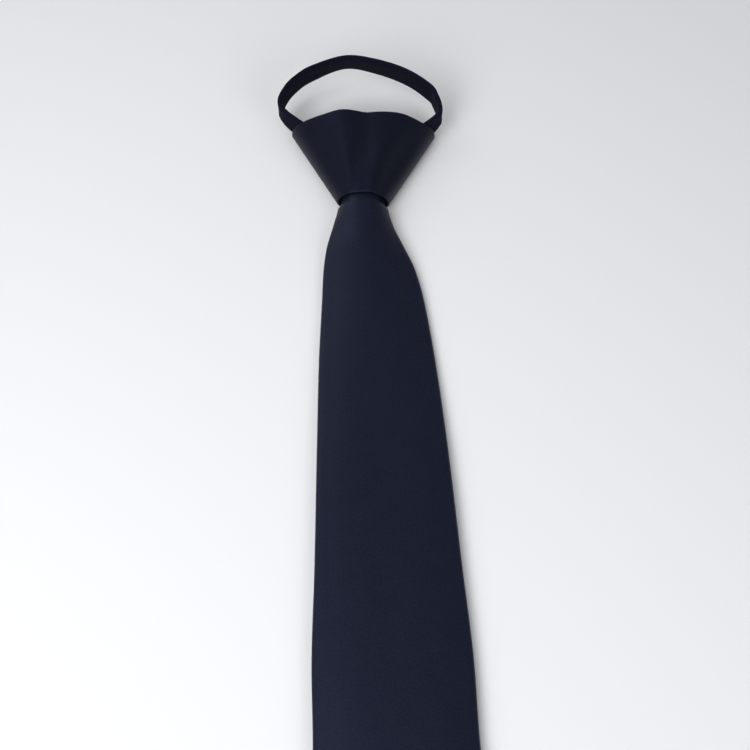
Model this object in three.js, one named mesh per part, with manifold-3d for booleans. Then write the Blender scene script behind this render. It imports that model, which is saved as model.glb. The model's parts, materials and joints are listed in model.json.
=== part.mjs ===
// A pre-tied satin necktie that closes with a zip, lying face up on a table.
// Millimetres, +Z up. The blade runs along -Y from the knot to its tip, and the
// neck loop stands on edge beyond the knot, at +Y. The blade's wide end lies true
// to the Y axis, and the knot is turned a little on the soft neck of the blade.
import * as THREE from "three";
import Module from "manifold-3d";
import { mergeVertices } from "three/addons/utils/BufferGeometryUtils.js";

const wasm = await Module();
wasm.setup();

// Driving sizes, in millimetres and degrees
const bladeLength = 440; // from the knot's lip to the tip
const bladeWidth = 70; // at its widest
const bladeThickness = 3; // front panel, fold and back flaps, pressed flat
const clothThickness = 1.2; // one layer of satin with its share of interlining
const tipLength = 35; // from the widest place to the point
const seamGap = 0.4; // between the two back flaps
const knotLength = 39; // from the lip to the rim
const rimWidth = 62.8;
const rimHeight = 20.7;
const lipWidth = 20;
const lipHeight = 12.9;
const lipRecess = 1.2; // of the lip's middle, up the knot from its corners
const knotSkew = 0.4; // how far its right side hangs lower than its middle
const sideHeight = 4; // of the knot's widest line above the table
const knotWall = 1;
const knotTurn = -2.1; // about +Z, the knot against the blade
const neckAside = -4; // of the knot's lip from the blade's axis
const neckInset = 7; // how far the blade reaches up into the knot
const bandWidth = 12;
const bandThickness = 2.3;
const loopWidth = 70.6; // between the middles of the band
const loopDepth = 30; // from the knot's rim to the far band's middle
const loopRise = 11; // of the far band above loopBase
const loopAside = -1.4; // of the loop's middle from the knot's
const loopBase = 8.2; // of the band's middle above the table, at the knot
const mouthLean = 12; // of the band where it enters the knot's mouth
const mouthShare = 0.78; // of bandWidth there, where the knot gathers it
const mouthInset = 1.5; // of the band from the mouth's side, beside its clearance
const mouthSill = 0.9; // of the band over the knot's floor, beside its clearance
const tailLength = 270; // below the knot's lip
const tailWidth = 26; // both zipped straps
const tailThickness = 1.8;
const tailBinding = 12; // the length at its free end in which its straps are joined
const chainWidth = 4; // of the closed zip
const chainThickness = 1.2;
const sliderWidth = 8;
const sliderLength = 9;
const sliderThickness = 3.4;
const clearance = 0.3; // between neighbouring pieces

// Shares that shape the pieces
const straightenedAt = 0.1; // of bladeLength below the lip, where the blade's turn ends
const tailLandsAt = 0.6; // of tailWidth below the lip, where the tail reaches the table
const knotFullness = 0.95; // power of the knot's section, where 1 is round
const sideFall = { lip: 1.4, rim: 2.1 }; // how steeply its sides fall to the table
const edgeRoll = 0.6; // of half the wall, which the knot's edges stand out by
const leastCrown = 0.1; // of the blade's front over its edges, in millimetres

// The blade below the lip. down is a share of bladeLength. spread is how much of the way
// from the neck's width to bladeWidth it has opened, aside is a share of neckAside, lift a
// share of the neck's height above the table, crown a share of the lip's height, and
// flat the power of the crown's curve, where 2 is round.
const bladeRows = [
  { down: 0, spread: 0, aside: 1, lift: 1, crown: 0.35, flat: 2.3 },
  { down: 0.006, spread: 0.07, aside: 1.02, lift: 0.98, crown: 0.38, flat: 2.3 },
  { down: 0.027, spread: 0.17, aside: 1.06, lift: 0.8, crown: 0.42, flat: 2.2 },
  { down: 0.05, spread: 0.298, aside: 0.92, lift: 0.5, crown: 0.43, flat: 2.1 },
  { down: 0.073, spread: 0.398, aside: 0.63, lift: 0.22, crown: 0.39, flat: 2.1 },
  { down: 0.107, spread: 0.473, aside: 0.37, lift: 0.05, crown: 0.3, flat: 2.3 },
  { down: 0.173, spread: 0.564, aside: 0.22, lift: 0, crown: 0.22, flat: 2.8 },
  { down: 0.266, spread: 0.643, aside: 0.08, lift: 0, crown: 0.19, flat: 3.4 },
  { down: 0.382, spread: 0.72, aside: 0.02, lift: 0, crown: 0.18, flat: 3.6 },
  { down: 0.465, spread: 0.786, aside: 0, lift: 0, crown: 0.18, flat: 3.6 },
  { down: 0.54, spread: 0.79, aside: 0, lift: 0, crown: 0.18, flat: 3.6 },
  { down: 0.7, spread: 0.885, aside: 0, lift: 0, crown: 0.12, flat: 3.4 },
  { down: 0.92, spread: 1, aside: 0, lift: 0, crown: 0.05, flat: 3 },
  { down: 1, spread: 1, aside: 0, lift: 0, crown: 0.03, flat: 3 },
];

// Folds that run down the knot's face. rim and lip place each one as shares of the half
// width, height and breadth are shares of rimHeight and of the half width, and end
// is the share of the knot's length, from the rim, at which it has died away.
const knotFolds = [
  { rim: -0.31, lip: -0.4, height: 0.085, breadth: 0.19, end: 0.8 },
  { rim: 0.05, lip: 0.02, height: -0.045, breadth: 0.12, end: 0.6 },
  { rim: 0.43, lip: -0.05, height: 0.045, breadth: 0.2, end: 1.5 },
  { rim: 0.72, lip: 0.4, height: -0.07, breadth: 0.15, end: 1.4 },
];

// The neck loop, from the knot's left corner round the far side to its right corner.
// across is a share of half loopWidth, back and rise of loopDepth and loopRise, lean is
// how far the band's upper edge leans into the loop, in degrees, and width a share of
// bandWidth, since the band is gathered where the knot grips it.
const loopRows = [
  { across: -0.93, back: 0.21, rise: 0.15, lean: 0, width: 0.8 },
  { across: -0.99, back: 0.35, rise: 0.32, lean: -2, width: 0.88 },
  { across: -0.93, back: 0.525, rise: 0.49, lean: 4, width: 1.02 },
  { across: -0.805, back: 0.685, rise: 0.65, lean: 9, width: 1.08 },
  { across: -0.6, back: 0.84, rise: 0.8, lean: 13, width: 1.1 },
  { across: -0.187, back: 1, rise: 0.975, lean: 19, width: 1.08 },
  { across: 0.2, back: 0.94, rise: 0.9, lean: 16, width: 1.1 },
  { across: 0.575, back: 0.79, rise: 0.74, lean: 12, width: 1.12 },
  { across: 0.86, back: 0.57, rise: 0.53, lean: 6, width: 1.06 },
  { across: 0.95, back: 0.42, rise: 0.37, lean: 2, width: 0.99 },
  { across: 0.99, back: 0.25, rise: 0.2, lean: -2, width: 0.86 },
  { across: 0.95, back: 0.15, rise: 0.08, lean: 0, width: 0.8 },
];

// One arm of the band inside the knot, from the slider up to the mouth. out is a share of
// the way from its place at the slider to its place in the mouth, up a share of
// the length between them, rise a share of its height in the mouth, and lean in degrees.
const armRows = [
  { out: 0, up: 0, rise: 0, lean: 90, width: 0.78 },
  { out: 0.1, up: 0.18, rise: 0.12, lean: 84, width: 0.78 },
  { out: 0.4, up: 0.5, rise: 0.5, lean: 50, width: 0.78 },
  { out: 0.72, up: 0.8, rise: 0.9, lean: 20, width: 0.78 },
];

// How far along its length the tail's straps are gathered into the knot: narrow at the
// lip, full width again below it. down is in shares of tailWidth, width of tailWidth.
const tailRows = [
  { down: -1, width: 0.46 },
  { down: 0, width: 0.47 },
  { down: 0.35, width: 0.72 },
  { down: 0.8, width: 0.96 },
  { down: 1.2, width: 1 },
];

// Steps along and round the curved pieces
const acrossSteps = 10; // over the blade's front
const capSteps = 3; // round a folded edge
const knotRound = 40;
const knotSteps = 8;
const stepsPerRow = 3; // along the neck loop

const satin = new THREE.MeshStandardMaterial({ color: 0x1d2233, roughness: 0.45, metalness: 0 });
const satinDark = new THREE.MeshStandardMaterial({ color: 0x191c2b, roughness: 0.45, metalness: 0 });
const nylon = new THREE.MeshStandardMaterial({ color: 0x15171f, roughness: 0.35, metalness: 0 });

// A smooth reading of one column of a table at a given place in another
function column(rows, key, name) {
  const curve = new THREE.CubicInterpolant(
    rows.map((row) => row[key]),
    rows.map((row) => row[name]),
    1,
  );
  const last = rows[rows.length - 1][key];
  return (place) => curve.evaluate(Math.min(Math.max(place, rows[0][key]), last))[0];
}

// The signed volume of an indexed mesh, which is negative if it is inside out
function signedVolume(points, index) {
  const cross = new THREE.Vector3();
  let six = 0;
  for (let i = 0; i < index.length; i += 3) {
    cross.crossVectors(points[index[i + 1]], points[index[i + 2]]);
    six += points[index[i]].dot(cross);
  }
  return six / 6;
}

// A closed surface through rings of equal length. Each ring is a closed outline. The rings
// form a ring themselves if joined is true. Otherwise both ends are capped by quads
// between the outline's first half and its second half, which lie opposite each other.
function skin(rings, joined = false) {
  const count = rings[0].length;
  const points = rings.flat();
  const index = [];
  const spans = joined ? rings.length : rings.length - 1;
  for (let i = 0; i < spans; i++) {
    const next = (i + 1) % rings.length;
    for (let j = 0; j < count; j++) {
      const k = (j + 1) % count;
      const [a, b, c, d] = [i * count + j, i * count + k, next * count + k, next * count + j];
      index.push(a, b, c, a, c, d);
    }
  }
  if (!joined) {
    const last = (rings.length - 1) * count;
    for (let j = 0; j < count / 2 - 1; j++) {
      const [a, b, c, d] = [j, j + 1, count - 2 - j, count - 1 - j];
      index.push(a, c, b, a, d, c);
      index.push(last + a, last + b, last + c, last + a, last + c, last + d);
    }
  }
  if (signedVolume(points, index) < 0) index.reverse();
  return new THREE.BufferGeometry().setFromPoints(points).setIndex(index);
}

// Several closed bodies as one
function fuse(...geometries) {
  const solids = geometries.map((geometry) => {
    const bare = mergeVertices(new THREE.BufferGeometry()
      .setAttribute("position", geometry.getAttribute("position"))
      .setIndex(geometry.getIndex()), 1e-4);
    return new wasm.Manifold(new wasm.Mesh({
      numProp: 3,
      vertProperties: bare.attributes.position.array,
      triVerts: new Uint32Array(bare.index.array),
    }));
  });
  const mesh = solids.reduce((sum, solid) => sum.add(solid)).getMesh();
  return new THREE.BufferGeometry()
    .setAttribute("position", new THREE.BufferAttribute(mesh.vertProperties, 3))
    .setIndex(new THREE.BufferAttribute(mesh.triVerts, 1));
}

// Heights that the stacked layers take at the knot's lip
const tailLift = knotWall + clearance;
const neckLift = tailLift + tailThickness + clearance;
const neckWidth = lipWidth - 2 * (knotWall + 1.5 * clearance);

// The middle line that blade, tail and zip share: at a length below the lip (negative in
// the knot), its place aside, its heading, and how much of the knot's lift is left
const asideShare = column(bladeRows, "down", "aside");
const liftShare = column(bladeRows, "down", "lift");
function middleX(down) {
  if (down <= 0) return neckAside + Math.tan(THREE.MathUtils.degToRad(knotTurn)) * down;
  return neckAside * asideShare(down / bladeLength);
}
function heading(down) {
  const left = THREE.MathUtils.smoothstep(-down, -straightenedAt * bladeLength, 0);
  return THREE.MathUtils.degToRad(knotTurn) * left;
}
// A point of a cross-section, given across and above the table, at a length below the lip
function placed(across, height, down) {
  const turn = heading(down);
  return new THREE.Vector3(
    middleX(down) + across * Math.cos(turn),
    -down + across * Math.sin(turn),
    height,
  );
}

// How high the tail's underside lies, which falls from the knot's floor to the table
function tailHeight(down) {
  return tailLift * (1 - THREE.MathUtils.smoothstep(down, 0, tailLandsAt * tailWidth));
}
const tailShare = column(tailRows, "down", "width");
function tailHalf(down) {
  return (tailWidth / 2) * tailShare(down / tailWidth);
}

// The blade's cross-section: one panel folded at both edges, whose flaps meet at the back.
// The outline runs from the right flap's end round the outside to the left flap's end,
// and back round the inside.
function bladeSection(half, lift, crown, flat) {
  const reach = half - bladeThickness / 2;
  const along = (share) => {
    const fall = Math.abs(share) ** flat;
    const slope = -Math.sign(share) * crown * flat * Math.abs(share) ** (flat - 1);
    const size = Math.hypot(slope, reach);
    return {
      middle: new THREE.Vector2(reach * share, lift + bladeThickness / 2 + crown * (1 - fall)),
      normal: new THREE.Vector2(-slope / size, reach / size),
    };
  };
  const offset = (share, by) => {
    const { middle, normal } = along(share);
    return middle.clone().addScaledVector(normal, by);
  };
  const cap = (side, radius) => {
    const { middle, normal } = along(side);
    const out = new THREE.Vector2(normal.y * side, -normal.x * side);
    const points = [];
    for (let i = 1; i < capSteps; i++) {
      const angle = (Math.PI * i) / capSteps;
      points.push(middle.clone()
        .addScaledVector(normal, -radius * Math.cos(angle))
        .addScaledVector(out, radius * Math.sin(angle)));
    }
    return points;
  };
  const round = (radius) => {
    const seam = Math.min(seamGap / 2 / reach, 0.3);
    const points = [];
    for (let i = 0; i <= acrossSteps / 2; i++) {
      points.push(offset(seam + (1 - seam) * (i / (acrossSteps / 2)), -radius));
    }
    points.push(...cap(1, radius));
    for (let i = 0; i <= acrossSteps; i++) points.push(offset(1 - (2 * i) / acrossSteps, radius));
    points.push(...cap(-1, radius).reverse());
    for (let i = acrossSteps / 2; i >= 0; i--) {
      points.push(offset(-seam - (1 - seam) * (i / (acrossSteps / 2)), -radius));
    }
    return points;
  };
  const inside = round(bladeThickness / 2 - clothThickness);
  return [...round(bladeThickness / 2), ...inside.reverse()];
}

// Crown that keeps the blade's underside clear of the tail that lies beneath it
function crownOverTail(half, lift, flat, down) {
  const fade = 1 - THREE.MathUtils.smoothstep(down, tailLength + 2, tailLength + tailWidth * 2);
  const share = Math.min(tailHalf(down) / (half - bladeThickness / 2), 0.9);
  return (fade * (tailHeight(down) + tailThickness + clearance - lift)) / (1 - share ** flat);
}

function frontBlade() {
  const spread = column(bladeRows, "down", "spread");
  const crownShare = column(bladeRows, "down", "crown");
  const flatness = column(bladeRows, "down", "flat");
  const widest = bladeLength - tipLength;
  const places = [-neckInset, -neckInset / 2, 0];
  for (const row of bladeRows.slice(1, -2)) {
    const before = places[places.length - 1];
    const here = row.down * bladeLength;
    places.push((before + here) / 2, here);
  }
  places.push((places[places.length - 1] + widest) / 2, widest, bladeLength);
  const outlines = places.map((down) => {
    const share = Math.max(down, 0) / bladeLength;
    const open = THREE.MathUtils.clamp(spread(share), 0, 1);
    let half = (neckWidth + (bladeWidth - neckWidth) * open) / 2;
    if (down === bladeLength) half = bladeThickness / 2 + clothThickness / 2;
    const lift = neckLift * Math.max(liftShare(share), 0);
    const flat = flatness(share);
    const crown = Math.max(
      lipHeight * crownShare(share),
      crownOverTail(half, lift, flat, down),
      leastCrown,
    );
    const neckCrown = lipHeight - knotWall - 2 * clearance - neckLift - bladeThickness;
    return bladeSection(half, lift, down <= 0 ? neckCrown : crown, flat);
  });
  const rings = outlines.map((outline, i) => outline.map((p) => placed(p.x, p.y, places[i])));
  return skin(rings);
}

// A point of the knot's shell. round is the angle about its axis, from its right side over
// the face, up the share of its length, and inset how far the point lies inside.
function knotPoint(round, up, inset) {
  const half = THREE.MathUtils.lerp(lipWidth, rimWidth, up) / 2 - inset;
  const top = THREE.MathUtils.lerp(lipHeight, rimHeight, up) - inset;
  const [cos, sin] = [Math.cos(round), Math.sin(round)];
  const x = half * Math.sign(cos) * Math.abs(cos) ** knotFullness;
  let z = sideHeight;
  if (sin >= 0) {
    z += (top - sideHeight) * sin ** knotFullness;
    for (const fold of knotFolds) {
      const line = THREE.MathUtils.lerp(fold.lip, fold.rim, up);
      const off = (x / half - line) / fold.breadth;
      const left = 1 - Math.min((1 - up) / fold.end, 1);
      z += rimHeight * fold.height * Math.exp(-off * off) * left * sin;
    }
  } else {
    const fall = THREE.MathUtils.lerp(sideFall.lip, sideFall.rim, up);
    z -= (sideHeight - inset) * Math.min(1, fall * Math.abs(sin) ** knotFullness);
  }
  const y = up * knotLength + (1 - up) * lipRecess * Math.max(sin, 0) - (knotSkew * x) / half;
  return new THREE.Vector3(x, y, z);
}

function knot() {
  const rings = [];
  const edge = knotWall / 2;
  const roll = (edgeRoll * edge) / knotLength;
  for (let i = 0; i < knotRound; i++) {
    const round = (2 * Math.PI * (i + 0.5)) / knotRound;
    const ring = [];
    for (let k = 0; k <= knotSteps; k++) ring.push(knotPoint(round, k / knotSteps, 0));
    ring.push(knotPoint(round, 1 + roll, edge));
    for (let k = knotSteps; k >= 0; k--) ring.push(knotPoint(round, k / knotSteps, knotWall));
    ring.push(knotPoint(round, -roll, edge));
    rings.push(ring);
  }
  return skin(rings, true);
}

// A flat strap swept through stations with a middle, a way along and a way across its width
function strap(stations, thickness) {
  const bevel = thickness * 0.3;
  const rings = stations.map(({ middle, along, across, width }) => {
    const face = new THREE.Vector3().crossVectors(along, across).normalize();
    const [w, t] = [width / 2, thickness / 2];
    return [
      [w, -t + bevel], [w, t - bevel], [w - bevel, t], [-w + bevel, t],
      [-w, t - bevel], [-w, -t + bevel], [-w + bevel, -t], [w - bevel, -t],
    ].map(([x, y]) => middle.clone().addScaledVector(across, x).addScaledVector(face, y));
  });
  return skin(rings);
}

// The arms inside the knot and the loop outside it, as one run from end to end
function neckBand() {
  const lean0 = THREE.MathUtils.degToRad(mouthLean);
  const gathered = bandWidth * mouthShare;
  const mouthX = rimWidth / 2 - knotWall - clearance - bandThickness / 2
    - (gathered / 2) * Math.sin(lean0) - mouthInset;
  const mouthZ = knotWall + clearance + (gathered / 2) * Math.cos(lean0) + mouthSill;
  const slider = {
    x: gathered / 2 + clearance,
    z: knotWall + 1.5 * clearance + bandThickness / 2,
  };
  const start = neckInset + sliderLength + 2 * clearance;
  const mouth = (side) => ({
    x: side * mouthX,
    y: knotLength + clearance - side * knotSkew,
    z: mouthZ,
    lean: mouthLean,
    width: mouthShare,
  });
  const arm = (side) => armRows.map((row) => ({
    ...row,
    x: side * THREE.MathUtils.lerp(slider.x, mouthX, row.out),
    y: THREE.MathUtils.lerp(start, mouth(side).y, row.up),
    z: THREE.MathUtils.lerp(slider.z, mouthZ, row.rise),
  }));
  const loop = loopRows.map((row) => ({
    ...row,
    x: loopAside + (loopWidth / 2) * row.across,
    y: knotLength + loopDepth * row.back,
    z: loopBase + loopRise * row.rise,
  }));
  const rows = [...arm(-1), mouth(-1), ...loop, mouth(1), ...arm(1).reverse()]
    .map((row, i) => ({ ...row, i }));
  const [x, y, z, lean, width] = ["x", "y", "z", "lean", "width"]
    .map((name) => column(rows, "i", name));
  const at = (i) => new THREE.Vector3(x(i), y(i), z(i));
  const stations = [];
  const count = (rows.length - 1) * stepsPerRow;
  for (let k = 0; k <= count; k++) {
    const i = k / stepsPerRow;
    const along = at(Math.min(i + 0.05, rows.length - 1)).sub(at(Math.max(i - 0.05, 0)))
      .normalize();
    const up = new THREE.Vector3(0, 0, 1).addScaledVector(along, -along.z).normalize();
    const inward = new THREE.Vector3().crossVectors(along, up);
    const angle = THREE.MathUtils.degToRad(lean(i));
    const across = up.multiplyScalar(Math.cos(angle)).addScaledVector(inward, Math.sin(angle));
    stations.push({ middle: at(i), along, across, width: bandWidth * width(i) });
  }
  return strap(stations, bandThickness);
}

// A bar under the blade between two places across, along the shared middle line
function bar(places, span, base, thickness) {
  const outlines = places.map((down) => {
    const [inner, outer] = span(down);
    const bottom = base(down);
    return [
      new THREE.Vector2(inner, bottom),
      new THREE.Vector2(outer, bottom),
      new THREE.Vector2(outer, bottom + thickness),
      new THREE.Vector2(inner, bottom + thickness),
    ];
  });
  const rings = outlines.map((outline, i) => outline.map((p) => placed(p.x, p.y, places[i])));
  return skin(rings);
}

// Places along the tail, close together where it leaves the knot
function tailPlaces(first, last) {
  const near = [-0.15, 0, 0.1, 0.2, 0.3, 0.4, 0.5, 0.6, 0.8, 1, 1.3, 2].map((n) => n * tailWidth);
  const far = [0.3, 0.5, 0.75].map((n) => n * bladeLength);
  return [first, ...[...near, ...far].filter((n) => n > first + 1 && n < last - 1), last];
}

// The two straps of the tail with a slot for the zip between them, closed at the end
function zipTail() {
  const slot = chainWidth / 2 + clearance;
  const places = tailPlaces(-neckInset, tailLength);
  const left = bar(places, (down) => [-tailHalf(down), -slot], tailHeight, tailThickness);
  const right = bar(places, (down) => [slot, tailHalf(down)], tailHeight, tailThickness);
  const end = bar([tailLength - tailBinding, tailLength], () => [-slot - 1, slot + 1],
    tailHeight, tailThickness);
  return fuse(left, right, end);
}

// The closed chain of the zip in the slot, with the slider at its upper end in the knot
function zipper() {
  const rise = (tailThickness - chainThickness) / 2;
  const chain = bar(
    tailPlaces(-neckInset - 1, tailLength - tailBinding - clearance),
    () => [-chainWidth / 2, chainWidth / 2],
    (down) => tailHeight(down) + rise,
    chainThickness,
  );
  const body = new THREE.Shape();
  const side = sliderWidth / 2;
  const [narrow, notch] = [0.6 * side, 0.25 * side];
  const [shoulder, crotch] = [0.45 * sliderLength, 0.8 * sliderLength];
  body.moveTo(-narrow, 0);
  body.lineTo(narrow, 0);
  body.quadraticCurveTo(side, shoulder, side, sliderLength);
  body.lineTo(notch, sliderLength);
  body.lineTo(0, crotch);
  body.lineTo(-notch, sliderLength);
  body.lineTo(-side, sliderLength);
  body.quadraticCurveTo(-side, shoulder, -narrow, 0);
  const slider = new THREE.ExtrudeGeometry(body, {
    depth: sliderThickness, bevelEnabled: false, curveSegments: 4,
  });
  slider.translate(0, 0, knotWall + clearance);
  slider.rotateZ(THREE.MathUtils.degToRad(knotTurn));
  slider.translate(middleX(-neckInset - clearance), neckInset + clearance, 0);
  const closed = mergeVertices(new THREE.BufferGeometry()
    .setAttribute("position", slider.getAttribute("position")), 1e-4);
  return fuse(chain, closed);
}

function piece(name, geometry, material, parent) {
  const mesh = new THREE.Mesh(geometry, material);
  mesh.name = name;
  geometry.computeVertexNormals();
  parent.add(mesh);
  return mesh;
}

const tie = new THREE.Group();
const turned = new THREE.Group();
turned.position.set(neckAside, 0, 0);
turned.rotation.z = THREE.MathUtils.degToRad(knotTurn);
tie.add(turned);
piece("front_blade", frontBlade(), satin, tie);
piece("zip_tail", zipTail(), satinDark, tie);
piece("zipper", zipper(), nylon, tie);
piece("knot", knot(), satinDark, turned);
piece("neck_band", neckBand(), satinDark, turned);

// The origin is under the middle of the whole tie, on the table
const box = new THREE.Box3().setFromObject(tie);
const centre = box.getCenter(new THREE.Vector3());
tie.position.set(-centre.x, -centre.y, -box.min.z);

export default tie;
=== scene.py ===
"""A zipper tie: a pre-tied navy satin necktie, lying face up on a pale floor.

The blade runs along -Y from the knot to its tip, and the neck loop stands on edge beyond the
knot. Sizes are in millimetres and become metres where a point is placed. A length "down" is
measured from the knot's lip towards the tip, and a length "up" from the lip towards the rim.
"""
import json
import logging
import math
from bisect import bisect_right
from dataclasses import dataclass, field
from enum import Enum
from typing import Callable, NamedTuple, Sequence

import bmesh
import bpy
from bpy.types import Material, Node, NodeTree, Object
from mathutils import Matrix, Vector, noise

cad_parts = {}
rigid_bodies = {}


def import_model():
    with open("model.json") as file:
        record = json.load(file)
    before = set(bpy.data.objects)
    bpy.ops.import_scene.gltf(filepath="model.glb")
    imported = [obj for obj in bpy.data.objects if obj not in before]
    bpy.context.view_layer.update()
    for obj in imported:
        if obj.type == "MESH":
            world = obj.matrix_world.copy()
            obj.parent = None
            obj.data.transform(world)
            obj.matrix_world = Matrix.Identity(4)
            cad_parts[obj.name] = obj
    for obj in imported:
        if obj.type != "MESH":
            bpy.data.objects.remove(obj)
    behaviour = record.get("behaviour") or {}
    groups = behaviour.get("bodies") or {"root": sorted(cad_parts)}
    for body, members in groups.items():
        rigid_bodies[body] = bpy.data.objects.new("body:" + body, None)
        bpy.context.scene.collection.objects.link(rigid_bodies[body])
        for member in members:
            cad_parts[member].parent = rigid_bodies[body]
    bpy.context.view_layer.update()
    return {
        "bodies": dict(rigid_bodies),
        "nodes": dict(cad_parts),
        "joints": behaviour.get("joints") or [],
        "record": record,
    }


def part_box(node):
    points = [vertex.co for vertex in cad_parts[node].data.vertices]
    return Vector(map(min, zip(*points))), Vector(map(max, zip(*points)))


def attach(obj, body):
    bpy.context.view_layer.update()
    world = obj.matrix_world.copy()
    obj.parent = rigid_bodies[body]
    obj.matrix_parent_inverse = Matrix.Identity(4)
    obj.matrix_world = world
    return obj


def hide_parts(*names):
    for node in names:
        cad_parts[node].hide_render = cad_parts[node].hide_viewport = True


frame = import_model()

log = logging.getLogger("zipper_tie")

BMesh = bmesh.types.BMesh
MM = 0.001
# The scale at which a wave texture repeats once for each unit of its vector
WAVE_ONCE = 2 * math.pi / 20
Point = tuple[float, float]
Place = Callable[[float, float], Vector]
Flat = Callable[[float, float], Point]
Link = tuple[Node, str]


class Side(Enum):
    """The two halves of the tie, by the sign of X."""

    LEFT = -1
    RIGHT = 1


class Grain(Enum):
    """How a woven cloth's threads run against its length, in degrees."""

    STRAIGHT = 0.0
    BIAS = 45.0


def lerp(low: float, high: float, share: float) -> float:
    """Returns the value a share of the way from low to high."""
    return low + (high - low) * share


def ease(value: float, low: float, high: float) -> float:
    """Returns 0 below low, 1 above high and a smooth rise between them."""
    share = min(max((value - low) / (high - low), 0.0), 1.0)
    return share * share * (3 - 2 * share)


def steps(start: float, end: float, count: int) -> list[float]:
    """Returns count + 1 evenly spaced values from start to end."""
    return [lerp(start, end, i / count) for i in range(count + 1)]


def joined(*runs: Sequence[float]) -> list[float]:
    """Joins runs of values, each of which starts where the last one ended.

    Args:
        runs: The runs, in order.

    Returns:
        One list that holds each shared end once.
    """
    values = list(runs[0])
    for run in runs[1:]:
        values.extend(run[1:])
    return values


class Track:
    """A smooth curve through one column of a table."""

    def __init__(self, places: Sequence[float], values: Sequence[float]) -> None:
        """Keeps the table's column and works out its slope at each row.

        Args:
            places: Where each row stands, rising.
            values: What the column says there.
        """
        self.places = list(places)
        self.values = list(values)
        last = len(places) - 1
        self.slopes = [
            (values[min(i + 1, last)] - values[max(i - 1, 0)])
            / (places[min(i + 1, last)] - places[max(i - 1, 0)])
            for i in range(last + 1)
        ]

    def __call__(self, place: float) -> float:
        """Reads the curve, which is level beyond the table's ends.

        Args:
            place: Where to read it.

        Returns:
            The column's value there.
        """
        place = min(max(place, self.places[0]), self.places[-1])
        i = min(bisect_right(self.places, place) - 1, len(self.places) - 2)
        span = self.places[i + 1] - self.places[i]
        t = (place - self.places[i]) / span
        rise = t * t * (3 - 2 * t)
        return (
            lerp(self.values[i], self.values[i + 1], rise)
            + span * self.slopes[i] * t * (1 - t) ** 2
            - span * self.slopes[i + 1] * t * t * (1 - t)
        )


def spans(start: int, counts: Sequence[int]) -> list[float]:
    """Returns spans of length 1 from start on, each divided into its own count of steps."""
    return joined(*(steps(start + i, start + i + 1, count) for i, count in enumerate(counts)))


def tracks(rows: Sequence[NamedTuple], key: str) -> dict[str, Track]:
    """Reads every column of a table against one of them.

    Args:
        rows: The table.
        key: The column that says where each row stands.

    Returns:
        A track for each column, by its name.
    """
    places = [getattr(row, key) for row in rows]
    return {name: Track(places, [getattr(row, name) for row in rows]) for name in rows[0]._fields}


class Ripple(NamedTuple):
    """Soft unevenness of cloth: its height and its wavelengths in millimetres, and its seed."""

    height: float
    across: float
    along: float
    seed: float

    def at(self, x: float, y: float) -> float:
        """Returns how far it raises a point of the cloth."""
        return self.height * noise.noise(Vector((x / self.across, y / self.along, self.seed)))


def linear(colour: str) -> tuple[float, float, float, float]:
    """Turns an sRGB hex colour such as "#1a2030" into linear RGBA."""
    parts = [int(colour[i:i + 2], 16) / 255 for i in (1, 3, 5)]
    return (*[c / 12.92 if c <= 0.04045 else ((c + 0.055) / 1.055) ** 2.4 for c in parts], 1.0)


def add_node(tree: NodeTree, kind: str, sockets: dict | None = None, **settings) -> Node:
    """Adds a node with its settings, values and links.

    Args:
        tree: The material's or world's nodes.
        kind: The node's type.
        sockets: By input name or number, a value, or a node and its output to link from.
        settings: The node's own properties.

    Returns:
        The node.
    """
    node = tree.nodes.new(kind)
    for name, value in settings.items():
        setattr(node, name, value)
    for name, value in (sockets or {}).items():
        if isinstance(value, tuple) and isinstance(value[0], Node):
            tree.links.new(value[0].outputs[value[1]], node.inputs[name])
        else:
            node.inputs[name].default_value = value
    return node


def new_material(name: str) -> tuple[Material, NodeTree]:
    """Starts a material without nodes.

    Args:
        name: The material's name.

    Returns:
        The material and its node tree.
    """
    material = bpy.data.materials.new(name)
    material.use_nodes = True
    material.node_tree.nodes.clear()
    return material, material.node_tree


def add_skin(tree: NodeTree, height: Link, bump: Point, sockets: dict) -> None:
    """Adds the surface of a material, whose grain stands out as bump.

    Args:
        tree: The material's nodes.
        height: The output that gives the grain's height.
        bump: How strongly the grain stands out, and how far in millimetres.
        sockets: The surface's values and links.
    """
    strength, depth = bump
    relief = add_node(tree, "ShaderNodeBump",
                      {"Height": height, "Strength": strength, "Distance": depth * MM})
    skin = add_node(tree, "ShaderNodeBsdfPrincipled", {**sockets, "Normal": (relief, "Normal")})
    add_node(tree, "ShaderNodeOutputMaterial", {"Surface": (skin, "BSDF")})


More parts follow.
